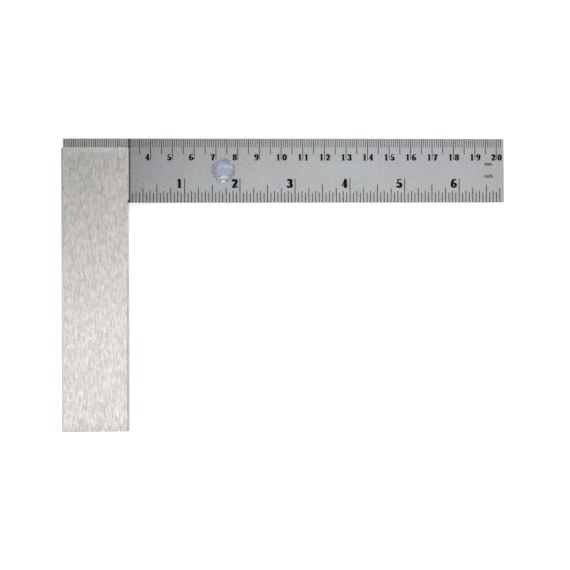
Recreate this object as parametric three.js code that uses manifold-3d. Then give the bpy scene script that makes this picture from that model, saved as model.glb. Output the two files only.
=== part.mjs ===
// A rigid steel square: a thin graduated blade, pinned into the slotted end of a thick bar, the stock.
//
// Millimetres, +Z up. The square lies flat on the stock's underside: the blade runs along X, and the stock runs
// from the blade's left end towards -Y. The origin is the middle of the square's outline, at the height of the
// surface that it lies on.

import * as THREE from 'three';
import { mergeVertices } from 'three/addons/utils/BufferGeometryUtils.js';
import Module from 'manifold-3d';

// Blade: a strip of rule steel.
const BLADE_LENGTH = 203.5;
const BLADE_WIDTH = 29.5;
const BLADE_THICKNESS = 1.2;

// Stock: a ground bar. The blade's outer edge stands proud of its end, and the blade's left end lies a little
// inside its outer face.
const STOCK_LENGTH = 129;
const STOCK_WIDTH = 30.5;
const STOCK_THICKNESS = 12;
const STOCK_CHAMFER = 1;
const BLADE_STANDS_PROUD = 4.75;
const BLADE_END_INSET = 0.35;

// The burr groove, down the stock's inner face at the inside corner.
const GROOVE_RADIUS = 0.5;
const GROOVE_RISE = 0.5;

// Pins through both cheeks and the blade, ground flush with the stock's faces.
const PIN_RADIUS = 2;
const PIN_CLEARANCE = 0.05;
const PIN_SPREAD = 15;
const PIN_END_DISTANCE = 7.5;
const PIN_SIDES = 24;

// Foil sticker: a thin disc on the blade's upper face.
const STICKER_RADIUS = 5.75;
const STICKER_THICKNESS = 0.1;
const STICKER_FROM_END = 73.3;
const STICKER_SIDES = 48;

// How far a cutting tool runs past the faces that it cuts.
const OVERRUN = 1;

// Where things are, in the square's own frame.
const OUTLINE_LENGTH = BLADE_END_INSET + BLADE_LENGTH;
const STOCK_LEFT = -OUTLINE_LENGTH / 2;
const STOCK_RIGHT = STOCK_LEFT + STOCK_WIDTH;
const STOCK_MIDDLE = STOCK_LEFT + STOCK_WIDTH / 2;
const BLADE_LEFT = STOCK_LEFT + BLADE_END_INSET;
const OUTLINE_DEPTH = BLADE_STANDS_PROUD + STOCK_LENGTH;
const BLADE_OUTER = OUTLINE_DEPTH / 2;
const BLADE_INNER = BLADE_OUTER - BLADE_WIDTH;
const BLADE_MIDDLE = BLADE_OUTER - BLADE_WIDTH / 2;
const STOCK_TOP_END = BLADE_OUTER - BLADE_STANDS_PROUD;
const MID_HEIGHT = STOCK_THICKNESS / 2;
const BLADE_UPPER_FACE = MID_HEIGHT + BLADE_THICKNESS / 2;

const PIN_CENTRES = [
  [STOCK_MIDDLE - PIN_SPREAD / 2, STOCK_TOP_END - PIN_END_DISTANCE],
  [STOCK_MIDDLE + PIN_SPREAD / 2, STOCK_TOP_END - PIN_END_DISTANCE],
  [STOCK_MIDDLE, BLADE_INNER + PIN_END_DISTANCE],
];

const steel = (color, roughness) => new THREE.MeshStandardMaterial({ color, roughness, metalness: 1 });
const STOCK_STEEL = steel(0xc9c6c2, 0.45);
const BLADE_STEEL = steel(0xabadb0, 0.35);
const PIN_STEEL = steel(0xbdbbb8, 0.4);
const STICKER_FOIL = new THREE.MeshStandardMaterial({ color: 0xc3c6dc, roughness: 0.25, metalness: 0.3 });

const wasm = await Module();
wasm.setup();

// A closed geometry as a solid that can be cut.
function toSolid(geometry) {
  const bare = geometry.clone();
  bare.deleteAttribute('normal');
  bare.deleteAttribute('uv');
  const merged = mergeVertices(bare);
  return new wasm.Manifold(
    new wasm.Mesh({
      numProp: 3,
      vertProperties: new Float32Array(merged.attributes.position.array),
      triVerts: new Uint32Array(merged.index.array),
    }),
  );
}

function toGeometry(solid) {
  const mesh = solid.getMesh();
  const geometry = new THREE.BufferGeometry();
  geometry.setAttribute('position', new THREE.BufferAttribute(mesh.vertProperties, mesh.numProp));
  geometry.setIndex(new THREE.BufferAttribute(mesh.triVerts, 1));
  geometry.computeVertexNormals();
  return geometry;
}

function cut(geometry, cutters) {
  let solid = toSolid(geometry);
  for (const cutter of cutters) {
    solid = solid.subtract(toSolid(cutter));
  }
  return toGeometry(solid);
}

// A box between two corners.
function boxBetween(low, high) {
  const size = high.map((value, axis) => value - low[axis]);
  const middle = high.map((value, axis) => (value + low[axis]) / 2);
  return new THREE.BoxGeometry(...size).translate(...middle);
}

// An upright cylinder between two heights.
function upright(radius, [x, y], bottom, top, sides) {
  const height = top - bottom;
  const cylinder = new THREE.CylinderGeometry(radius, radius, height, sides);
  return cylinder.rotateX(Math.PI / 2).translate(x, y, bottom + height / 2);
}

// A pin's bore is cut through anything between these heights.
function pinBores(bottom, top) {
  return PIN_CENTRES.map((centre) =>
    upright(PIN_RADIUS + PIN_CLEARANCE, centre, bottom - OVERRUN, top + OVERRUN, PIN_SIDES),
  );
}

// The stock's section, with its four long edges chamfered.
function stockSection() {
  const side = STOCK_WIDTH / 2;
  const face = STOCK_THICKNESS / 2;
  const section = new THREE.Shape();
  section.moveTo(side, face - STOCK_CHAMFER);
  section.lineTo(side - STOCK_CHAMFER, face);
  section.lineTo(-side + STOCK_CHAMFER, face);
  section.lineTo(-side, face - STOCK_CHAMFER);
  section.lineTo(-side, -face + STOCK_CHAMFER);
  section.lineTo(-side + STOCK_CHAMFER, -face);
  section.lineTo(side - STOCK_CHAMFER, -face);
  section.lineTo(side, -face + STOCK_CHAMFER);
  section.closePath();
  return section;
}

function stockGeometry() {
  const bar = new THREE.ExtrudeGeometry(stockSection(), { depth: STOCK_LENGTH, bevelEnabled: false });
  bar.rotateX(Math.PI / 2).translate(STOCK_MIDDLE, STOCK_TOP_END, MID_HEIGHT);
  const slot = boxBetween(
    [STOCK_LEFT - OVERRUN, BLADE_INNER, MID_HEIGHT - BLADE_THICKNESS / 2],
    [STOCK_RIGHT + OVERRUN, STOCK_TOP_END + OVERRUN, BLADE_UPPER_FACE],
  );
  const groove = upright(
    GROOVE_RADIUS,
    [STOCK_RIGHT, BLADE_INNER + GROOVE_RISE],
    -OVERRUN,
    STOCK_THICKNESS + OVERRUN,
    PIN_SIDES,
  );
  return cut(bar, [slot, groove, ...pinBores(0, STOCK_THICKNESS)]);
}

function bladeGeometry() {
  const strip = boxBetween(
    [BLADE_LEFT, BLADE_INNER, MID_HEIGHT - BLADE_THICKNESS / 2],
    [BLADE_LEFT + BLADE_LENGTH, BLADE_OUTER, BLADE_UPPER_FACE],
  );
  return cut(strip, pinBores(MID_HEIGHT, MID_HEIGHT));
}

function pinGeometry(centre) {
  return upright(PIN_RADIUS, centre, 0, STOCK_THICKNESS, PIN_SIDES);
}

function stickerGeometry() {
  const centre = [BLADE_LEFT + STICKER_FROM_END, BLADE_MIDDLE];
  const top = BLADE_UPPER_FACE + STICKER_THICKNESS;
  return upright(STICKER_RADIUS, centre, BLADE_UPPER_FACE, top, STICKER_SIDES);
}

const square = new THREE.Group();

function add(name, geometry, material) {
  const mesh = new THREE.Mesh(geometry, material);
  mesh.name = name;
  square.add(mesh);
}

add('stock', stockGeometry(), STOCK_STEEL);
add('blade', bladeGeometry(), BLADE_STEEL);
PIN_CENTRES.forEach((centre, index) => add(`blade_pin_${index + 1}`, pinGeometry(centre), PIN_STEEL));
add('foil_sticker', stickerGeometry(), STICKER_FOIL);

export default square;
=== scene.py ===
import math

import bmesh
import bpy
from mathutils import Matrix, Vector
from mathutils.geometry import convex_hull_2d, delaunay_2d_cdt


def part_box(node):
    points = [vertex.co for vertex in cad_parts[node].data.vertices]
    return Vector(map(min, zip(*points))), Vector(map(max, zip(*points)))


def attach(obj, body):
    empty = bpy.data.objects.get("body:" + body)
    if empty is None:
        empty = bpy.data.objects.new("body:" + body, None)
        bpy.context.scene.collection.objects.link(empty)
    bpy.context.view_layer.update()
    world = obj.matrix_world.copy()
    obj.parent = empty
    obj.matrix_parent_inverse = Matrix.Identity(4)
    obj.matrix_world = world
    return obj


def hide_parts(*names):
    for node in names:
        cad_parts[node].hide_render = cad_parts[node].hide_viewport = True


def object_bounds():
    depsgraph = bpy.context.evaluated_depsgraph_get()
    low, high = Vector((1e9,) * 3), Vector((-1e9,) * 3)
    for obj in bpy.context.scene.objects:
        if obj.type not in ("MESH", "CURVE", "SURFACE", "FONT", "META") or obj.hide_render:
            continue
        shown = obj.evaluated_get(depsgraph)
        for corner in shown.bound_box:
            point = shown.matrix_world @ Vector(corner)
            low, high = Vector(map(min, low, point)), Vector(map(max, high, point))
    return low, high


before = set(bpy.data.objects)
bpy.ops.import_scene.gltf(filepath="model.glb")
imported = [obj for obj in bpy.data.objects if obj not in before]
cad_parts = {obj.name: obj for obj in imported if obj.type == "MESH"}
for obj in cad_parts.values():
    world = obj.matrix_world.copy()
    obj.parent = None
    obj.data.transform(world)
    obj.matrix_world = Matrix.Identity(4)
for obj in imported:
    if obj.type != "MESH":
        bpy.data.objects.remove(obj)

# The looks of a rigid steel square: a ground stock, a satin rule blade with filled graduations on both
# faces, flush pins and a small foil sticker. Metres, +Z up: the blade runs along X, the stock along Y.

MM = 0.001
INCH = 25.4 * MM
X_AXIS, Y_AXIS, Z_AXIS = range(3)

cad_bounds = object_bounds()
floor_height = cad_bounds[0].z
stock_low, stock_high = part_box("stock")
blade_low, blade_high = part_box("blade")
sticker_low, sticker_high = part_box("foil_sticker")

# Stock
STOCK_CHAMFER = 1.0 * MM
STOCK_END_CHAMFER = 0.15 * MM
STOCK_EDGE_RADIUS = 0.06 * MM
SLOT_CLEARANCE = 0.02 * MM

# The burr groove, down the stock's inner side at the inside corner.
GROOVE_RADIUS = 0.5 * MM
GROOVE_SIDES = 32
groove_centre = Vector((stock_high.x, blade_low.y + GROOVE_RADIUS))

# Blade
BLADE_EDGE_RADIUS = 0.07 * MM
BLADE_CORNER_RADIUS = 0.25 * MM
BLADE_CORNER_STEPS = 4

# Pins
PIN_RING_GAP = 0.02 * MM
PIN_NODES = ("blade_pin_1", "blade_pin_2", "blade_pin_3")

# How far a cutting shape runs past the faces that it cuts.
OVERRUN = 1.0 * MM

# How nearly a direction has to follow an axis to count as running along it.
ALIGNED = 0.98

# How far along Y a face of the stock has to face to belong to its end.
END_LEAN = 0.3

# Graduations: thin solids of black fill, let into the blade's faces and a hair proud of them. A scale's
# lengths give the step and the length of each kind of tick, longest first. Its numerals' centres are measured
# from its own edge of the blade, and their offsets from their ticks.
FILL_DEPTH = 0.03 * MM
FILL_RISE = 0.012 * MM
METRIC_TICK_WIDTH = 0.26 * MM
METRIC_LONG_TICK_WIDTH = 0.33 * MM
INCH_TICK_WIDTH = 0.37 * MM
TICK_EDGE_GAP = 0.1 * MM

METRIC_TICKS = 202
METRIC_LENGTHS = ((10, 9.8 * MM), (5, 7.2 * MM), (1, 4.0 * MM))
METRIC_DIGIT_HEIGHT = 2.95 * MM
METRIC_DIGIT_CENTRE = 8.6 * MM
METRIC_DIGIT_OFFSET = 1.5 * MM
METRIC_DIGIT_SHIFT = 0.1 * MM

INCH_STEP = INCH / 16
INCH_TICKS = 108
INCH_LENGTHS = ((16, 11.1 * MM), (8, 8.3 * MM), (4, 6.7 * MM), (2, 5.4 * MM), (1, 4.6 * MM))
INCH_DIGIT_HEIGHT = 4.15 * MM
INCH_DIGIT_CENTRE = 8.85 * MM
INCH_DIGIT_OFFSET = 2.45 * MM

UNIT_LETTER_HEIGHT = 1.6 * MM
UNIT_FROM_RIGHT = 7.2 * MM
METRIC_UNIT_FROM_OUTER = 11.6 * MM
INCH_UNIT_FROM_OUTER = 17.2 * MM


# ---------------------------------------------------------------- meshes


def mesh_object(name, mesh):
    piece = bpy.data.objects.new(name, mesh)
    bpy.context.scene.collection.objects.link(piece)
    return piece


def object_from_bmesh(name, bm):
    mesh = bpy.data.meshes.new(name)
    bm.normal_update()
    bm.to_mesh(mesh)
    bm.free()
    return mesh_object(name, mesh)


def box_bmesh(low, high):
    bm = bmesh.new()
    middle = (low + high) / 2
    size = high - low
    bmesh.ops.create_cube(bm, size=1, matrix=Matrix.Translation(middle) @ Matrix.Diagonal((*size, 1)))
    return bm


def upright_cylinder(name, centre, radius, bottom, top, sides=64):
    bm = bmesh.new()
    place = Matrix.Translation((centre.x, centre.y, (bottom + top) / 2))
    bmesh.ops.create_cone(
        bm, cap_ends=True, segments=sides, radius1=radius, radius2=radius, depth=top - bottom, matrix=place
    )
    return object_from_bmesh(name, bm)


def edges_along(bm, axis):
    def runs_along(edge):
        direction = (edge.verts[1].co - edge.verts[0].co).normalized()
        return abs(direction[axis]) > ALIGNED

    return [edge for edge in bm.edges if runs_along(edge)]


def bevel(bm, edges, width, segments=1):
    bmesh.ops.bevel(bm, geom=edges, offset=width, segments=segments, profile=0.5, affect="EDGES")


def apply_modifiers(piece):
    depsgraph = bpy.context.evaluated_depsgraph_get()
    finished = bpy.data.meshes.new_from_object(piece.evaluated_get(depsgraph))
    rough = piece.data
    piece.modifiers.clear()
    piece.data = finished
    bpy.data.meshes.remove(rough)
    finished.name = piece.name


def cut_away(piece, cutters):
    for cutter in cutters:
        modifier = piece.modifiers.new("cut", "BOOLEAN")
        modifier.operation = "DIFFERENCE"
        modifier.solver = "EXACT"
        modifier.object = cutter
    apply_modifiers(piece)
    for cutter in cutters:
        mesh = cutter.data
        bpy.data.objects.remove(cutter)
        bpy.data.meshes.remove(mesh)


def soften_edges(piece, width, segments=2):
    for polygon in piece.data.polygons:
        polygon.use_smooth = True
    modifier = piece.modifiers.new("soften", "BEVEL")
    modifier.width = width
    modifier.segments = segments
    modifier.limit_method = "ANGLE"
    modifier.angle_limit = math.radians(30)
    modifier.harden_normals = True
    apply_modifiers(piece)


def pin_centre(node):
    low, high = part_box(node)
    return (low + high) / 2


def pin_radius(node):
    low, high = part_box(node)
    return (high.x - low.x) / 2


def pin_bores(bottom, top):
    bores = []
    for node in PIN_NODES:
        radius = pin_radius(node) + PIN_RING_GAP
        bores.append(upright_cylinder("bore", pin_centre(node), radius, bottom - OVERRUN, top + OVERRUN))
    return bores


def make_stock():
    bm = box_bmesh(stock_low, stock_high)
    bevel(bm, edges_along(bm, Y_AXIS), STOCK_CHAMFER)
    ends = [face for face in bm.faces if abs(face.normal.y) > ALIGNED]
    end_edges = {edge for face in ends for edge in face.edges}
    bevel(bm, list(end_edges), STOCK_END_CHAMFER)
    stock = object_from_bmesh("stock_body", bm)
    slot_low = Vector((stock_low.x - OVERRUN, blade_low.y, blade_low.z - SLOT_CLEARANCE))
    slot_high = Vector((stock_high.x + OVERRUN, stock_high.y + OVERRUN, blade_high.z + SLOT_CLEARANCE))
    slot = object_from_bmesh("slot", box_bmesh(slot_low, slot_high))
    bottom = stock_low.z - OVERRUN
    top = stock_high.z + OVERRUN
    groove = upright_cylinder("groove", groove_centre, GROOVE_RADIUS, bottom, top, GROOVE_SIDES)
    cut_away(stock, [slot, groove])
    soften_edges(stock, STOCK_EDGE_RADIUS)
    cut_away(stock, pin_bores(stock_low.z, stock_high.z))
    return stock


def make_blade():
    bm = box_bmesh(blade_low, blade_high)
    bevel(bm, edges_along(bm, Z_AXIS), BLADE_CORNER_RADIUS, BLADE_CORNER_STEPS)
    blade = object_from_bmesh("blade_body", bm)
    soften_edges(blade, BLADE_EDGE_RADIUS)
    cut_away(blade, pin_bores(blade_low.z, blade_high.z))
    return blade


def make_pin(node):
    low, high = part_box(node)
    return upright_cylinder(node + "_ground", pin_centre(node), pin_radius(node), low.z, high.z)


# ---------------------------------------------------------------- numerals

# A glyph is drawn with flat pens in a cell one unit high, with its foot at 0 and its middle at x = 0.
BROAD_PEN = (0.175, 0.055)
BOWL_PEN = (0.155, 0.052)
THIN_PEN = (0.075, 0.07)
LETTER_PEN = (0.115, 0.1)
PEN_SIDES = 16

# Points this close are one point, and faces that turn less than this are one face.
WELD_DISTANCE = 1e-5
FLAT_ANGLE = math.radians(1)


def ellipse(centre, radii, sides=PEN_SIDES):
    turn = 2 * math.pi / sides
    return [
        (centre[0] + radii[0] * math.cos(turn * i), centre[1] + radii[1] * math.sin(turn * i))
        for i in range(sides)
    ]


def arc(centre, radii, start, end, steps=14):
    """Points along an ellipse's arc, from one angle to another in degrees."""
    angles = [math.radians(start + (end - start) * i / steps) for i in range(steps + 1)]
    return [(centre[0] + radii[0] * math.cos(a), centre[1] + radii[1] * math.sin(a)) for a in angles]


def block(left, foot, right, top):
    return [[(left, foot), (right, foot), (right, top), (left, top)]]


def stroke(pen, points):
    """The convex patches that a pen, given by its radii, covers as it is drawn through the points."""
    patches = []
    for here, there in zip(points, points[1:]):
        outline = ellipse(here, pen) + ellipse(there, pen)
        patches.append([outline[i] for i in convex_hull_2d(outline)])
    return patches


def ball(x, y, radius=0.09):
    return [ellipse((x, y), (radius * 1.05, radius * 0.85))]


def turned(patches):
    """The same patches, turned half way round in the cell."""
    return [[(-x, 1 - y) for x, y in patch] for patch in patches]


def zero():
    return stroke(BOWL_PEN, arc((0, 0.5), (0.21, 0.45), 0, 360, 32))


def one():
    stem = stroke(BOWL_PEN, [(0.03, 0.04), (0.03, 0.96)])
    flag = stroke(THIN_PEN, [(0.04, 0.96), (-0.16, 0.84)])
    return stem + flag + block(-0.22, 0, 0.28, 0.07)


def two():
    bow = arc((0, 0.7), (0.185, 0.255), 165, -30)
    neck = stroke(BROAD_PEN, bow + [(-0.16, 0.08)])
    foot = block(-0.28, 0, 0.26, 0.16)
    flick = stroke(THIN_PEN, [(0.23, 0.07), (0.28, 0.27)])
    return neck + foot + flick + ball(-0.15, 0.75)


def three():
    upper = stroke(BROAD_PEN, arc((-0.01, 0.745), (0.17, 0.22), 160, -85))
    lower = stroke(BROAD_PEN, arc((-0.02, 0.28), (0.205, 0.245), 85, -160))
    return upper + lower + ball(-0.16, 0.8) + ball(-0.19, 0.19)


def four():
    slope = stroke(THIN_PEN, [(0.07, 0.94), (-0.27, 0.3)])
    stem = stroke(BROAD_PEN, [(0.09, 0.04), (0.09, 0.96)])
    return slope + stem + block(-0.31, 0.22, 0.33, 0.34) + block(-0.1, 0, 0.29, 0.06)


def five():
    bar = block(-0.18, 0.84, 0.22, 0.99)
    back = stroke(THIN_PEN, [(-0.165, 0.92), (-0.185, 0.5)])
    bowl = stroke(BROAD_PEN, arc((-0.03, 0.31), (0.2, 0.275), 140, -155))
    return bar + back + bowl + ball(-0.18, 0.19)


def six():
    back = stroke(BOWL_PEN, arc((0.06, 0.38), (0.265, 0.58), 62, 180))
    bowl = stroke(BOWL_PEN, arc((0, 0.3), (0.205, 0.26), 0, 360, 28))
    return back + bowl + ball(0.17, 0.87, 0.07)


def seven():
    bar = block(-0.27, 0.8, 0.29, 0.985)
    serif = stroke(THIN_PEN, [(-0.235, 0.93), (-0.25, 0.7)])
    leg = stroke(BROAD_PEN, [(0.19, 0.9), (0.07, 0.62), (-0.01, 0.36), (-0.05, 0.04)])
    return bar + serif + leg


def eight():
    upper = stroke(BOWL_PEN, arc((0, 0.745), (0.2, 0.21), 0, 360, 24))
    lower = stroke(BOWL_PEN, arc((0, 0.28), (0.215, 0.235), 0, 360, 28))
    return upper + lower


def nine():
    return turned(six())


def arch(left, right, top):
    middle = (left + right) / 2
    reach = (right - left) / 2
    bend = arc((middle, top - reach), (reach, reach), 180, 0, 8)
    return stroke(LETTER_PEN, [(left, top - reach), *bend, (right, 0.08)])


def letter_m():
    stem = stroke(LETTER_PEN, [(-0.42, 0.08), (-0.42, 0.62)])
    return stem + arch(-0.42, 0, 0.62) + arch(0, 0.42, 0.62)


def letter_i():
    return stroke(LETTER_PEN, [(0, 0.08), (0, 0.62)]) + ball(0, 0.86, 0.1)


def letter_n():
    return stroke(LETTER_PEN, [(-0.21, 0.08), (-0.21, 0.62)]) + arch(-0.21, 0.21, 0.62)


def letter_c():
    return stroke(LETTER_PEN, arc((0.02, 0.35), (0.22, 0.27), 45, 315))


def letter_h():
    return stroke(LETTER_PEN, [(-0.21, 0.08), (-0.21, 0.95)]) + arch(-0.21, 0.21, 0.62)


GLYPHS = {
    "0": zero,
    "1": one,
    "2": two,
    "3": three,
    "4": four,
    "5": five,
    "6": six,
    "7": seven,
    "8": eight,
    "9": nine,
    "m": letter_m,
    "i": letter_i,
    "n": letter_n,
    "c": letter_c,
    "h": letter_h,
}
LETTER_STEPS = {"m": 1.12, "i": 0.42, "n": 0.72, "c": 0.66, "h": 0.72}


def joined(patches):
    """One flat region from overlapping convex patches: its points, and faces that index them."""
    points = []
    faces = []
    for patch in patches:
        faces.append(list(range(len(points), len(points) + len(patch))))
        points.extend(Vector(point) for point in patch)
    found, _, cells, _, _, owners = delaunay_2d_cdt(points, [], faces, 0, WELD_DISTANCE, True)
    bm = bmesh.new()
    verts = [bm.verts.new((point.x, point.y, 0)) for point in found]
    for cell, owner in zip(cells, owners):
        if owner:
            bm.faces.new([verts[i] for i in cell])
    loose = [vert for vert in bm.verts if not vert.link_faces]
    bmesh.ops.delete(bm, geom=loose, context="VERTS")
    bmesh.ops.dissolve_limit(bm, angle_limit=FLAT_ANGLE, verts=bm.verts, edges=bm.edges)
    bm.verts.index_update()
    outline_points = [(vert.co.x, vert.co.y) for vert in bm.verts]
    outline_faces = [[vert.index for vert in face.verts] for face in bm.faces]
    bm.free()
    return outline_points, outline_faces


glyph_shapes = {}


def glyph_shape(character):
    if character not in glyph_shapes:
        glyph_shapes[character] = joined(GLYPHS[character]())
    return glyph_shapes[character]


class BladeFace:
    """One broad face of the blade. Flat shapes laid on it, given in the square's own X and Y, become thin
    solids of fill in one mesh."""

    def __init__(self, upper):
        self.side = "front" if upper else "back"
        self.surface = blade_high.z if upper else blade_low.z
        self.outward = 1 if upper else -1
        self.bm = bmesh.new()

    def lay(self, points, faces):
        """Makes a flat shape solid: its two faces, and a wall along each edge that only one face has."""
        top = self.surface + self.outward * FILL_RISE
        bottom = self.surface - self.outward * FILL_DEPTH
        top_verts = [self.bm.verts.new((x, y, top)) for x, y in points]
        bottom_verts = [self.bm.verts.new((x, y, bottom)) for x, y in points]
        rims = {}
        for face in faces:
            self.bm.faces.new([top_verts[i] for i in face])
            self.bm.faces.new([bottom_verts[i] for i in reversed(face)])
            for a, b in zip(face, face[1:] + face[:1]):
                edge = frozenset((a, b))
                rims[edge] = None if edge in rims else (a, b)
        for a, b in filter(None, rims.values()):
            self.bm.faces.new([top_verts[b], top_verts[a], bottom_verts[a], bottom_verts[b]])

    def lay_rectangle(self, left, low, right, high):
        self.lay([(left, low), (right, low), (right, high), (left, high)], [[0, 1, 2, 3]])

    def lay_glyph(self, character, centre, height):
        """centre is the middle of the glyph's cell. On the lower face the glyph is mirrored."""
        points, faces = glyph_shape(character)
        placed = [
            (centre[0] + self.outward * x * height, centre[1] + (y - 0.5) * height) for x, y in points
        ]
        self.lay(placed, faces)

    def lay_word(self, word, centre, height):
        widths = [LETTER_STEPS[character] * height for character in word]
        pen = -sum(widths) / 2
        for character, width in zip(word, widths):
            x = centre[0] + self.outward * (pen + width / 2)
            self.lay_glyph(character, (x, centre[1]), height)
            pen += width

    def finished(self, name):
        bmesh.ops.recalc_face_normals(self.bm, faces=self.bm.faces)
        return object_from_bmesh(name + "_" + self.side, self.bm)


def tick_length(count, lengths):
    """The length of the longest kind of tick whose step divides the count."""
    return next(length for step, length in lengths if count % step == 0)


def make_metric_scale(upper):
    face = BladeFace(upper)
    edge = blade_high.y - TICK_EDGE_GAP
    for count in range(1, METRIC_TICKS + 1):
        x = blade_low.x + count * MM
        width = METRIC_TICK_WIDTH if count % 5 else METRIC_LONG_TICK_WIDTH
        foot = blade_high.y - tick_length(count, METRIC_LENGTHS)
        face.lay_rectangle(x - width / 2, foot, x + width / 2, edge)
    height = blade_high.y - METRIC_DIGIT_CENTRE
    for centimetre in range(1, METRIC_TICKS // 10 + 1):
        middle = blade_low.x + centimetre * 10 * MM + METRIC_DIGIT_SHIFT
        digits = str(centimetre)
        if len(digits) == 1:
            places = [middle - METRIC_DIGIT_OFFSET]
        else:
            places = [middle + side * face.outward * METRIC_DIGIT_OFFSET for side in (-1, 1)]
        for digit, x in zip(digits, places):
            face.lay_glyph(digit, (x, height), METRIC_DIGIT_HEIGHT)
    return face.finished("metric_scale")


def make_inch_scale(upper):
    face = BladeFace(upper)
    edge = blade_low.y + TICK_EDGE_GAP
    for count in range(1, INCH_TICKS + 1):
        x = stock_high.x + count * INCH_STEP
        top = blade_low.y + tick_length(count, INCH_LENGTHS)
        face.lay_rectangle(x - INCH_TICK_WIDTH / 2, edge, x + INCH_TICK_WIDTH / 2, top)
    height = blade_low.y + INCH_DIGIT_CENTRE
    for inch in range(1, INCH_TICKS // 16 + 1):
        x = stock_high.x + inch * INCH - INCH_DIGIT_OFFSET
        face.lay_glyph(str(inch), (x, height), INCH_DIGIT_HEIGHT)
    return face.finished("inch_scale")


def make_unit_marks(upper):
    face = BladeFace(upper)
    x = blade_high.x - UNIT_FROM_RIGHT
    face.lay_word("mm", (x, blade_high.y - METRIC_UNIT_FROM_OUTER), UNIT_LETTER_HEIGHT)
    face.lay_word("inch", (x, blade_high.y - INCH_UNIT_FROM_OUTER), UNIT_LETTER_HEIGHT)
    return face.finished("unit_marks")


# ---------------------------------------------------------------- sticker

STICKER_RINGS = 14
STICKER_SPOKES = 72
STICKER_RIM_START = 0.93
STICKER_RIM_DROP = 0.03 * MM
STICKER_WRINKLE = 0.018 * MM
STICKER_FACE = 0.7


def sticker_height(distance, angle):
    """The foil's upper surface: flat, with faint crescent wrinkles, and falling off at its rim. The flat
    lies at STICKER_FACE of the full thickness, and distance is in radii from the middle."""
    thickness = sticker_high.z - sticker_low.z
    crest = 0.5 + 0.5 * math.sin(9 * distance + 1.3 * math.sin(angle - 0.8))
    wrinkle = STICKER_WRINKLE * crest * (1 - distance**4)
    rim = STICKER_RIM_DROP * max(0.0, (distance - STICKER_RIM_START) / (1 - STICKER_RIM_START)) ** 2
    return sticker_low.z + thickness * STICKER_FACE + wrinkle - rim


def make_sticker():
    middle = (sticker_low + sticker_high) / 2
    radius = (sticker_high.x - sticker_low.x) / 2
    bm = bmesh.new()
    rings = []
    for ring in range(1, STICKER_RINGS + 1):
        distance = math.sin(math.pi / 2 * ring / STICKER_RINGS)
        verts = []
        for spoke in range(STICKER_SPOKES):
            angle = 2 * math.pi * spoke / STICKER_SPOKES
            x = middle.x + radius * distance * math.cos(angle)
            y = middle.y + radius * distance * math.sin(angle)
            verts.append(bm.verts.new((x, y, sticker_height(distance, angle))))
        rings.append(verts)
    crown = bm.verts.new((middle.x, middle.y, sticker_height(0, 0)))
    foot = [bm.verts.new((vert.co.x, vert.co.y, sticker_low.z)) for vert in rings[-1]]
    following = [(spoke + 1) % STICKER_SPOKES for spoke in range(STICKER_SPOKES)]
    for spoke, after in enumerate(following):
        bm.faces.new([crown, rings[0][spoke], rings[0][after]])
        for inner, outer in zip(rings, rings[1:] + [foot]):
            bm.faces.new([inner[spoke], outer[spoke], outer[after], inner[after]])
    bm.faces.new(list(reversed(foot)))
    for face in bm.faces:
        face.smooth = True
    sticker = object_from_bmesh("sticker_disc", bm)
    sticker.data.set_sharp_from_angle(angle=math.radians(50))
    return sticker


# ---------------------------------------------------------------- materials

STOCK_COLOUR = (0.68, 0.66, 0.635)
BLADE_COLOUR = (0.46, 0.465, 0.475)
# Near-white, for the painted highlight at the stock's end.
HIGHLIGHT_COLOUR = (0.95, 0.94, 0.93)
BLACK = (0.0, 0.0, 0.0)

# The length and width of the ground streaks.
STOCK_STREAK = (3.0 * MM, 0.9 * MM)
BLADE_STREAK = (1.6 * MM, 0.6 * MM)

# A Mix node's colour sockets, which share their names with its number sockets.
MIX_FIRST, MIX_SECOND = 6, 7
MIX_RESULT = 2


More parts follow.
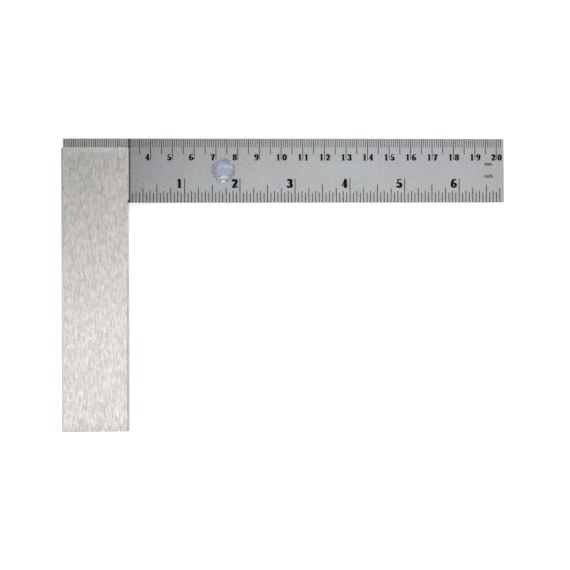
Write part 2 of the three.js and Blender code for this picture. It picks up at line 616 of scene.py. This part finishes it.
class Finish:
    """A node material with one Principled shader, and short calls for the nodes that feed it."""

    def __init__(self, name):
        self.material = bpy.data.materials.new(name)
        self.material.use_nodes = True
        self.tree = self.material.node_tree
        self.shader = self.tree.nodes["Principled BSDF"]
        self.place = self.tree.nodes.new("ShaderNodeTexCoord").outputs["Object"]

    def feed(self, socket, value):
        if isinstance(value, bpy.types.NodeSocket):
            self.tree.links.new(value, socket)
        else:
            socket.default_value = value

    def set(self, **values):
        for name, value in values.items():
            self.feed(self.shader.inputs[name.replace("_", " ")], value)

    def noise(self, size, detail=2.0, roughness=0.5, distortion=0.0, shift=0.0):
        """Noise whose grains are about size metres, a number or one for each axis."""
        sizes = size if isinstance(size, tuple) else (size,) * 3
        mapping = self.tree.nodes.new("ShaderNodeMapping")
        mapping.inputs["Scale"].default_value = [1 / s for s in sizes]
        mapping.inputs["Location"].default_value = (shift, shift, shift)
        self.tree.links.new(self.place, mapping.inputs["Vector"])
        noise = self.tree.nodes.new("ShaderNodeTexNoise")
        noise.inputs["Scale"].default_value = 1.0
        noise.inputs["Detail"].default_value = detail
        noise.inputs["Roughness"].default_value = roughness
        noise.inputs["Distortion"].default_value = distortion
        self.tree.links.new(mapping.outputs["Vector"], noise.inputs["Vector"])
        return noise.outputs["Fac"]

    def math(self, operation, a, b=0.0):
        node = self.tree.nodes.new("ShaderNodeMath")
        node.operation = operation
        self.feed(node.inputs[0], a)
        self.feed(node.inputs[1], b)
        return node.outputs[0]

    def square(self, value):
        return self.math("MULTIPLY", value, value)

    def coordinates(self):
        """The place's X, Y and Z."""
        parts = self.tree.nodes.new("ShaderNodeSeparateXYZ")
        self.tree.links.new(self.place, parts.inputs[0])
        return list(parts.outputs)

    def spread(self, value, low, high, to_low, to_high):
        """value, from low..high, mapped to to_low..to_high and held there."""
        node = self.tree.nodes.new("ShaderNodeMapRange")
        self.feed(node.inputs["Value"], value)
        for name, number in zip(("From Min", "From Max", "To Min", "To Max"), (low, high, to_low, to_high)):
            node.inputs[name].default_value = number
        return node.outputs["Result"]

    def weighted(self, *terms):
        """The sum of (weight, value) terms."""
        total = 0.0
        for weight, value in terms:
            total = self.math("ADD", self.math("MULTIPLY", value, weight), total)
        return total

    def colour(self, factor, low, high):
        """low where the factor is 0 and high where it is 1. Both are colours or sockets."""
        node = self.tree.nodes.new("ShaderNodeMix")
        node.data_type = "RGBA"
        self.feed(node.inputs["Factor"], factor)
        for index, value in ((MIX_FIRST, low), (MIX_SECOND, high)):
            self.feed(node.inputs[index], (*value, 1) if isinstance(value, tuple) else value)
        return node.outputs[MIX_RESULT]

    def bump(self, height, distance, strength=1.0):
        node = self.tree.nodes.new("ShaderNodeBump")
        node.inputs["Strength"].default_value = strength
        node.inputs["Distance"].default_value = distance
        self.tree.links.new(height, node.inputs["Height"])
        self.tree.links.new(node.outputs["Normal"], self.shader.inputs["Normal"])


# Wear, oil, and painted light and shade: their colours, how far each reaches, and how much of it covers the
# bare steel.
# Painted shade: near-black, in the inside corner and in a line along the stock's wall where the blade leaves
# it.
CORNER_SHADE_COLOUR = (0.012, 0.011, 0.01)
CORNER_SHADE_REACH = 0.7 * MM
SHADE_BESIDE_BLADE = 0.8
SHADE_FROM_WALL = 0.25 * MM
CORNER_SHADE_RADIUS = 0.75 * MM
# Painted shadow of the stock on the blade: blue-grey, fading out along it.
STOCK_SHADOW_COLOUR = (0.2, 0.2, 0.25)
STOCK_SHADOW_REACH = 30 * MM
STOCK_SHADOW_DEPTH = 0.2
OIL_SPREAD = 24 * MM
OIL_DEPTH = 0.07
OIL_TINTS = ((0.47, 0.42, 0.62), (0.36, 0.52, 0.52))
# Painted light: the blade painted lighter past the stock's end, and a painted highlight in a band along the
# stock's end beside the blade.
BLADE_PAINTED_LIGHT = 0.55
STOCK_END_HIGHLIGHT = 0.4
STOCK_HIGHLIGHT_BAND = (3.0 * MM, 1.5 * MM)
BLADE_LIGHT_FADE = 1.0 * MM
# Painted shade at the stock's free end.
STOCK_FOOT_SHADE = 0.15
STOCK_FOOT_SHADE_REACH = 4.0 * MM

# Painted shade (outer) and light (inner) on the long chamfers, from the middle of the square's outline up to
# the blade.
OUTER_CHAMFER_SHADE = (0.7, 0.34)
INNER_CHAMFER_LIGHT = (0.78, 1.0)


def corner_grime(finish):
    """How much painted shade covers the steel: all of it in the square's inside corner, and some where
    the blade leaves the stock."""
    x, y, z = finish.coordinates()
    half_thickness = (blade_high.z - blade_low.z) / 2
    from_middle = finish.math("ABSOLUTE", finish.math("SUBTRACT", z, blade_low.z + half_thickness))
    from_blade = finish.math("MAXIMUM", finish.math("SUBTRACT", from_middle, half_thickness), 0.0)
    from_wall = finish.math("SUBTRACT", x, stock_high.x)
    past_blade = finish.math("MAXIMUM", finish.math("SUBTRACT", blade_low.y, y), 0.0)
    ragged = finish.noise(0.7 * MM, detail=2.0, shift=19.0)
    distance = finish.weighted(
        (1.0, finish.math("ABSOLUTE", finish.math("SUBTRACT", from_wall, SHADE_FROM_WALL))),
        (0.25, from_blade),
        (2.0, past_blade),
        (0.6 * CORNER_SHADE_REACH, ragged),
    )
    beside_blade = finish.spread(distance, 0.6 * CORNER_SHADE_REACH, 1.4 * CORNER_SHADE_REACH, SHADE_BESIDE_BLADE, 0.0)
    from_groove = finish.math("SUBTRACT", y, groove_centre.y)
    squared = finish.math("ADD", finish.square(from_wall), finish.square(from_groove))
    in_corner = finish.spread(squared, GROOVE_RADIUS**2, CORNER_SHADE_RADIUS**2, 1.0, 0.0)
    return finish.math("MAXIMUM", beside_blade, in_corner)


def handled_stock(finish, steel):
    """The stock's colour at its ends: a painted highlight beside the blade, and painted shade at the free
    end.
    """
    y = finish.coordinates()[1]
    start, full = (stock_high.y - distance for distance in STOCK_HIGHLIGHT_BAND)
    steel = finish.colour(finish.spread(y, start, full, 0.0, STOCK_END_HIGHLIGHT), steel, HIGHLIGHT_COLOUR)
    foot_shade = finish.spread(y, stock_low.y, stock_low.y + STOCK_FOOT_SHADE_REACH, STOCK_FOOT_SHADE, 0.0)
    return finish.colour(foot_shade, steel, BLACK)


def handled_blade(finish, steel):
    """The blade's colour: tinted by a trace of oil, painted lighter past the stock's end, and under a
    painted blue-grey shadow of the stock that fades out along the rest."""
    x = finish.coordinates()[0]
    for tint, shift in zip(OIL_TINTS, (23.0, 31.0)):
        patch = finish.spread(finish.noise(OIL_SPREAD, detail=1.0, shift=shift), 0.5, 0.62, 0.0, OIL_DEPTH)
        steel = finish.colour(patch, steel, tint)
    # Painted light: the blade painted lighter past the stock's end.
    lit_strip = finish.spread(x, stock_high.x - BLADE_LIGHT_FADE, stock_high.x, BLADE_PAINTED_LIGHT, 0.0)
    steel = finish.colour(lit_strip, steel, STOCK_COLOUR)
    # Painted shadow of the stock, only past its inner face.
    stock_shadow = finish.spread(x, stock_high.x, stock_high.x + STOCK_SHADOW_REACH, STOCK_SHADOW_DEPTH, 0.0)
    stock_shadow = finish.math("MULTIPLY", stock_shadow, finish.math("GREATER_THAN", x, stock_high.x))
    return finish.colour(stock_shadow, steel, STOCK_SHADOW_COLOUR)


def along(axis, length, width):
    """A grain's size on each axis: long on one, narrow on the other two."""
    return tuple(length if i == axis else width for i in range(3))


def shade(colour, factor):
    return tuple(channel * factor for channel in colour)


def ground_steel(name, colour, axis, streak, contrast, roughness, tints_and_painted_light=None):
    """Steel ground along one axis: bright flecks and sparkles on a plainer grey, with hairlines, stains and
    a few long scratches. The flecks fade towards +Y. The optional recolouring adds oil tints and painted
    light and shade."""
    finish = Finish(name)
    streaks = finish.noise(along(axis, *streak), detail=3.0, roughness=0.6)
    hairlines = finish.noise(along(axis, 9 * MM, 0.11 * MM), detail=2.0, shift=3.0)
    grains = finish.noise(0.5 * MM, detail=1.0, shift=7.0)
    stains = finish.noise(14 * MM, detail=3.0, roughness=0.55, shift=11.0)
    scratches = finish.noise(along(axis, 60 * MM, 0.2 * MM), detail=0.0, shift=17.0)
    deep = finish.spread(scratches, 0.76, 0.82, 0.0, 1.0)
    tone = finish.weighted((0.57, streaks), (0.27, hairlines), (0.16, grains))
    flecks = finish.spread(tone, 0.4, 0.66, -0.6 * contrast, 1.05 * contrast)
    specks = finish.noise(0.9 * MM, detail=1.0, shift=27.0)
    sparkle = finish.spread(specks, 0.64, 0.74, 0.0, 0.8 * contrast)
    plainness = finish.spread(finish.coordinates()[1], stock_low.y, stock_high.y, 1.25, 0.62)
    light = finish.weighted(
        (1.0, finish.math("MULTIPLY", finish.math("ADD", flecks, sparkle), plainness)),
        (0.1, finish.math("SUBTRACT", stains, 0.5)),
        (-0.05, deep),
    )
    tone_range = finish.spread(light, -0.5, 0.5, 0.0, 1.0)
    steel = finish.colour(tone_range, shade(colour, 0.5), shade(colour, 1.5))
    if tints_and_painted_light:
        steel = tints_and_painted_light(finish, steel)
    # Painted shade in the inside corner and along the blade's joint: near-black and not metallic.
    painted_shade = corner_grime(finish)
    finish.set(
        Base_Color=finish.colour(painted_shade, steel, CORNER_SHADE_COLOUR),
        Metallic=finish.math("SUBTRACT", 1.0, painted_shade),
        Roughness=finish.weighted((0.16, streaks), (0.1, stains), (0.05, deep), (1.0, roughness - 0.13)),
    )
    height = finish.weighted((0.6, streaks), (0.4, hairlines), (-0.3, deep))
    finish.bump(height, 0.01 * MM, 0.5)
    return finish.material


def tarnished_chamfers(finish, steel):
    """Near the blade the stock's outer chamfers are painted darker, as shade, and its inner ones lighter, as
    a painted highlight.
    """
    x, y, _ = finish.coordinates()
    outer = finish.spread(y, 0.0, stock_high.y, *OUTER_CHAMFER_SHADE)
    inner = finish.spread(y, 0.0, blade_low.y, *INNER_CHAMFER_LIGHT)
    on_inner = finish.math("GREATER_THAN", x, (stock_low.x + stock_high.x) / 2)
    gain = finish.math("MULTIPLY", on_inner, finish.math("SUBTRACT", inner, outer))
    return finish.colour(finish.math("ADD", outer, gain), BLACK, steel)


def worn_edge_steel(name, colour, axis, tints_and_painted_light=None):
    """An edge: smoother than the faces, with nicks along it. The optional recolouring paints light and shade
    on it.
    """
    finish = Finish(name)
    rub = finish.noise(along(axis, 6 * MM, 0.6 * MM), detail=4.0, roughness=0.6, shift=5.0)
    nicks = finish.spread(finish.noise(0.9 * MM, detail=2.0, shift=13.0), 0.66, 0.74, 0.0, 1.0)
    steel = finish.colour(finish.spread(rub, 0.3, 0.7, 0.0, 1.0), shade(colour, 0.92), shade(colour, 1.1))
    if tints_and_painted_light:
        steel = tints_and_painted_light(finish, steel)
    finish.set(
        Base_Color=steel,
        Metallic=1.0,
        Roughness=finish.weighted((0.18, rub), (0.12, nicks), (1.0, 0.2)),
    )
    finish.bump(finish.weighted((0.3, rub), (-1.0, nicks)), 0.02 * MM, 0.5)
    return finish.material


def graduation_fill():
    """Black stoving filler, matt, a little thin in places."""
    finish = Finish("graduation_fill")
    thin = finish.noise(0.5 * MM, detail=3.0)
    patchy = finish.spread(thin, 0.35, 0.75, 0.0, 1.0)
    finish.set(
        Base_Color=finish.colour(patchy, (0.002, 0.002, 0.003), (0.01, 0.01, 0.011)),
        Roughness=finish.spread(thin, 0.3, 0.7, 0.5, 0.7),
        Specular_IOR_Level=0.04,
    )
    finish.bump(thin, 0.003 * MM, 0.4)
    return finish.material


LAVENDER = (0.47, 0.47, 0.72)
SEA_GREEN = (0.42, 0.54, 0.58)
PALE_GREY = (0.62, 0.63, 0.72)
PALE_BLUE = (0.72, 0.73, 0.84)
PAINTED_GLINT_COLOUR = (0.9, 0.9, 0.96)
FOIL_ALPHA = 0.82

# Painted highlights: pale glints painted into the foil, in the sticker's radii: x and y of the middle, half
# length, half width, turn in degrees and strength.
PAINTED_GLINTS = (
    (-0.1, -0.52, 0.55, 0.16, 4, 0.85),
    (0.0, -0.87, 0.38, 0.14, 8, 1.0),
    (0.25, 0.34, 0.4, 0.12, -8, 0.45),
    (0.66, 0.26, 0.24, 0.13, -30, 0.8),
    (0.68, 0.6, 0.12, 0.15, 0, 0.9),
    (-0.55, 0.58, 0.5, 0.12, 52, 0.4),
    (-0.93, -0.04, 0.12, 0.2, 0, 0.5),
    (-0.3, 0.25, 0.4, 0.1, 48, 0.3),
    (0.2, 0.75, 0.5, 0.1, 5, 0.3),
)


def glint(finish, x, y, middle_x, middle_y, length, width, turn, strength):
    """The strength of a painted highlight in the middle of a curved stroke, falling to 0 at its rim. x and y
    are in radii.
    """
    dx = finish.math("SUBTRACT", x, middle_x)
    dy = finish.math("SUBTRACT", y, middle_y)
    cosine = math.cos(math.radians(turn))
    sine = math.sin(math.radians(turn))
    u = finish.math("DIVIDE", finish.weighted((cosine, dx), (sine, dy)), length)
    v = finish.math("DIVIDE", finish.weighted((-sine, dx), (cosine, dy)), width)
    bent = finish.math("ADD", v, finish.square(u))
    squared = finish.math("ADD", finish.square(u), finish.square(bent))
    return finish.spread(squared, 0.0, 1.0, strength, 0.0)


def sticker_foil():
    """Translucent foil that shifts between lavender, grey and sea green, with pale curved glints painted in
    as highlights.
    """
    finish = Finish("sticker_foil")
    middle = (sticker_low + sticker_high) / 2
    radius = (sticker_high.x - sticker_low.x) / 2
    place_x, place_y, _ = finish.coordinates()
    x = finish.math("DIVIDE", finish.math("SUBTRACT", place_x, middle.x), radius)
    y = finish.math("DIVIDE", finish.math("SUBTRACT", place_y, middle.y), radius)
    waver = finish.noise(1.8 * MM, detail=2.0, shift=4.0)
    bent_y = finish.weighted((1.0, y), (0.3, waver), (1.0, -0.15))
    painted_shine = 0.0
    for shape in PAINTED_GLINTS:
        painted_shine = finish.math("MAXIMUM", painted_shine, glint(finish, x, bent_y, *shape))
    drift = finish.noise(4.0 * MM, detail=1.0, distortion=0.6, shift=2.0)
    swirls = finish.noise((1.6 * MM, 0.7 * MM, 2 * MM), detail=2.0, distortion=1.2, shift=6.0)
    across = finish.weighted((0.45, x), (1.6, drift), (1.0, -0.8))
    tint = finish.colour(finish.spread(across, -0.5, 0.35, 0.0, 1.0), LAVENDER, SEA_GREEN)
    tint = finish.colour(finish.spread(y, 0.0, -0.9, 0.0, 0.7), tint, PALE_GREY)
    tint = finish.colour(finish.spread(swirls, 0.5, 0.66, 0.0, 0.55), tint, PALE_BLUE)
    from_middle = finish.math("ADD", finish.square(x), finish.square(y))
    ragged = finish.weighted((1.0, from_middle), (1.4, waver), (1.0, -0.7))
    finish.set(
        # The glints are painted highlights, and the foil is opaque under them.
        Base_Color=finish.colour(painted_shine, tint, PAINTED_GLINT_COLOUR),
        Metallic=0.7,
        Roughness=finish.spread(drift, 0.3, 0.7, 0.28, 0.4),
        Alpha=finish.math("MAXIMUM", finish.spread(ragged, 0.3, 1.0, FOIL_ALPHA, 0.0), painted_shine),
    )
    finish.bump(swirls, 0.02 * MM, 0.4)
    return finish.material


FLOOR_GLOW = 0.45


def floor_paper():
    finish = Finish("floor_paper")
    tooth = finish.noise(2 * MM, detail=3.0)
    finish.set(
        Base_Color=finish.colour(tooth, (0.88, 0.88, 0.88), (0.92, 0.92, 0.92)),
        Roughness=0.9,
        Specular_IOR_Level=0.1,
        Emission_Color=(1, 1, 1, 1),
        Emission_Strength=FLOOR_GLOW,
    )
    return finish.material


stock_side = ground_steel(
    "stock_ground_steel",
    STOCK_COLOUR,
    Y_AXIS,
    STOCK_STREAK,
    contrast=0.37,
    roughness=0.3,
    tints_and_painted_light=handled_stock,
)
stock_end = ground_steel("stock_end_steel", STOCK_COLOUR, X_AXIS, STOCK_STREAK, contrast=0.3, roughness=0.36)
# The chamfers' colour is painted brighter than the stock's, to carry the painted highlight on the inner ones.
stock_edge = worn_edge_steel("stock_edge_steel", shade(STOCK_COLOUR, 1.3), Y_AXIS, tarnished_chamfers)
blade_face = ground_steel(
    "blade_satin_steel",
    BLADE_COLOUR,
    X_AXIS,
    BLADE_STREAK,
    contrast=0.24,
    roughness=0.3,
    tints_and_painted_light=handled_blade,
)
blade_edge = worn_edge_steel("blade_edge_steel", BLADE_COLOUR, X_AXIS)
fill = graduation_fill()
foil = sticker_foil()


def dress(piece, materials, choose=None):
    """Gives a piece its materials, and each face the one that choose picks."""
    piece.data.materials.clear()
    for material in materials:
        piece.data.materials.append(material)
    if choose:
        for polygon in piece.data.polygons:
            polygon.material_index = choose(polygon.normal, polygon.center)
    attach(piece, "root")


def in_groove(normal, centre):
    """True for the groove's upright wall."""
    upright = abs(normal.z) < 0.1
    return upright and (centre.xy - groove_centre).length < 1.01 * GROOVE_RADIUS


def stock_region(normal, centre):
    """0 for the long faces and the groove, 1 for the ends and their chamfers, 2 for the long chamfers."""
    if in_groove(normal, centre):
        return 0
    if abs(normal.y) > END_LEAN:
        return 1
    return 2 if max(abs(value) for value in normal) < ALIGNED else 0


def blade_region(normal, centre):
    """0 for the two broad faces, 1 for the edges."""
    return 0 if abs(normal.z) > ALIGNED else 1


# ---------------------------------------------------------------- pieces

stock = make_stock()
dress(stock, [stock_side, stock_end, stock_edge], stock_region)
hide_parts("stock")

blade = make_blade()
dress(blade, [blade_face, blade_edge], blade_region)
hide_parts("blade")

for node in PIN_NODES:
    pin = make_pin(node)
    dress(pin, [stock_side])
    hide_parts(node)

for upper in (True, False):
    for make in (make_metric_scale, make_inch_scale, make_unit_marks):
        dress(make(upper), [fill])

sticker = make_sticker()
dress(sticker, [foil])
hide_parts("foil_sticker")


# ---------------------------------------------------------------- stage, light and camera

FLOOR_REACH = 3.0
FLOOR_THICKNESS = 0.02
WORLD_STRENGTH = 0.25

# Overhead softboxes: place, the point that each faces, width and depth, and radiance.
STOCK_BOX = ((-0.157, -0.116, 1.0), (-0.157, -0.116, 0), (0.34, 0.32), 1.47)
BLADE_BOX = ((0.168, 0.105, 1.0), (0.168, 0.105, 0), (0.5, 0.3), 1.22)

# Four more, round the sides: how far out, how high, width and depth, and radiance. They face the origin.
SIDE_BOX_REACH = 0.85
SIDE_BOX_HEIGHT = 0.62
SIDE_BOX_SIZE = (1.0, 0.8)
SIDE_BOX_RADIANCE = 1.75


def make_floor():
    low = Vector((-FLOOR_REACH, -FLOOR_REACH, floor_height - FLOOR_THICKNESS))
    high = Vector((FLOOR_REACH, FLOOR_REACH, floor_height))
    floor = object_from_bmesh("floor", box_bmesh(low, high))
    floor.data.materials.append(floor_paper())


def make_light(name, place, aim, size, radiance):
    data = bpy.data.lights.new(name, "AREA")
    data.shape = "ELLIPSE"
    data.size, data.size_y = size
    data.energy = radiance * math.pi * (math.pi / 4 * size[0] * size[1])
    light = bpy.data.objects.new(name, data)
    light.location = place
    light.rotation_euler = (Vector(aim) - Vector(place)).to_track_quat("-Z", "Y").to_euler()
    bpy.context.scene.collection.objects.link(light)


def make_lights():
    make_light("stock_softbox", *STOCK_BOX)
    make_light("blade_softbox", *BLADE_BOX)
    for name, turn in (("near", -90), ("far", 90), ("left", 180), ("right", 0)):
        x = SIDE_BOX_REACH * math.cos(math.radians(turn))
        y = SIDE_BOX_REACH * math.sin(math.radians(turn))
        make_light(name + "_softbox", (x, y, SIDE_BOX_HEIGHT), (0, 0, 0), SIDE_BOX_SIZE, SIDE_BOX_RADIANCE)


def make_world():
    world = bpy.data.worlds.new("studio")
    world.use_nodes = True
    background = world.node_tree.nodes["Background"]
    background.inputs["Color"].default_value = (1, 1, 1, 1)
    background.inputs["Strength"].default_value = WORLD_STRENGTH
    bpy.context.scene.world = world


# Camera: its place, the turns in degrees about X, Y and Z that aim it, and its lens and sensor in mm.
CAMERA_PLACE = Vector((-39.02, -8.575, 703)) * MM
CAMERA_TURNS = (0.66, -3.2, -0.235)
CAMERA_LENS = 95.72
CAMERA_SENSOR = 36.0


def make_camera():
    data = bpy.data.cameras.new("camera")
    data.lens = CAMERA_LENS
    data.sensor_width = CAMERA_SENSOR
    data.clip_start = 0.01
    data.clip_end = 100
    camera = bpy.data.objects.new("camera", data)
    camera.matrix_world = Matrix.Translation(CAMERA_PLACE)
    for angle, axis in zip(CAMERA_TURNS, "XYZ"):
        camera.matrix_world = camera.matrix_world @ Matrix.Rotation(math.radians(angle), 4, axis)
    bpy.context.scene.collection.objects.link(camera)
    bpy.context.scene.camera = camera


make_floor()
make_world()
make_lights()
make_camera()
bpy.context.scene.view_settings.view_transform = "Standard"
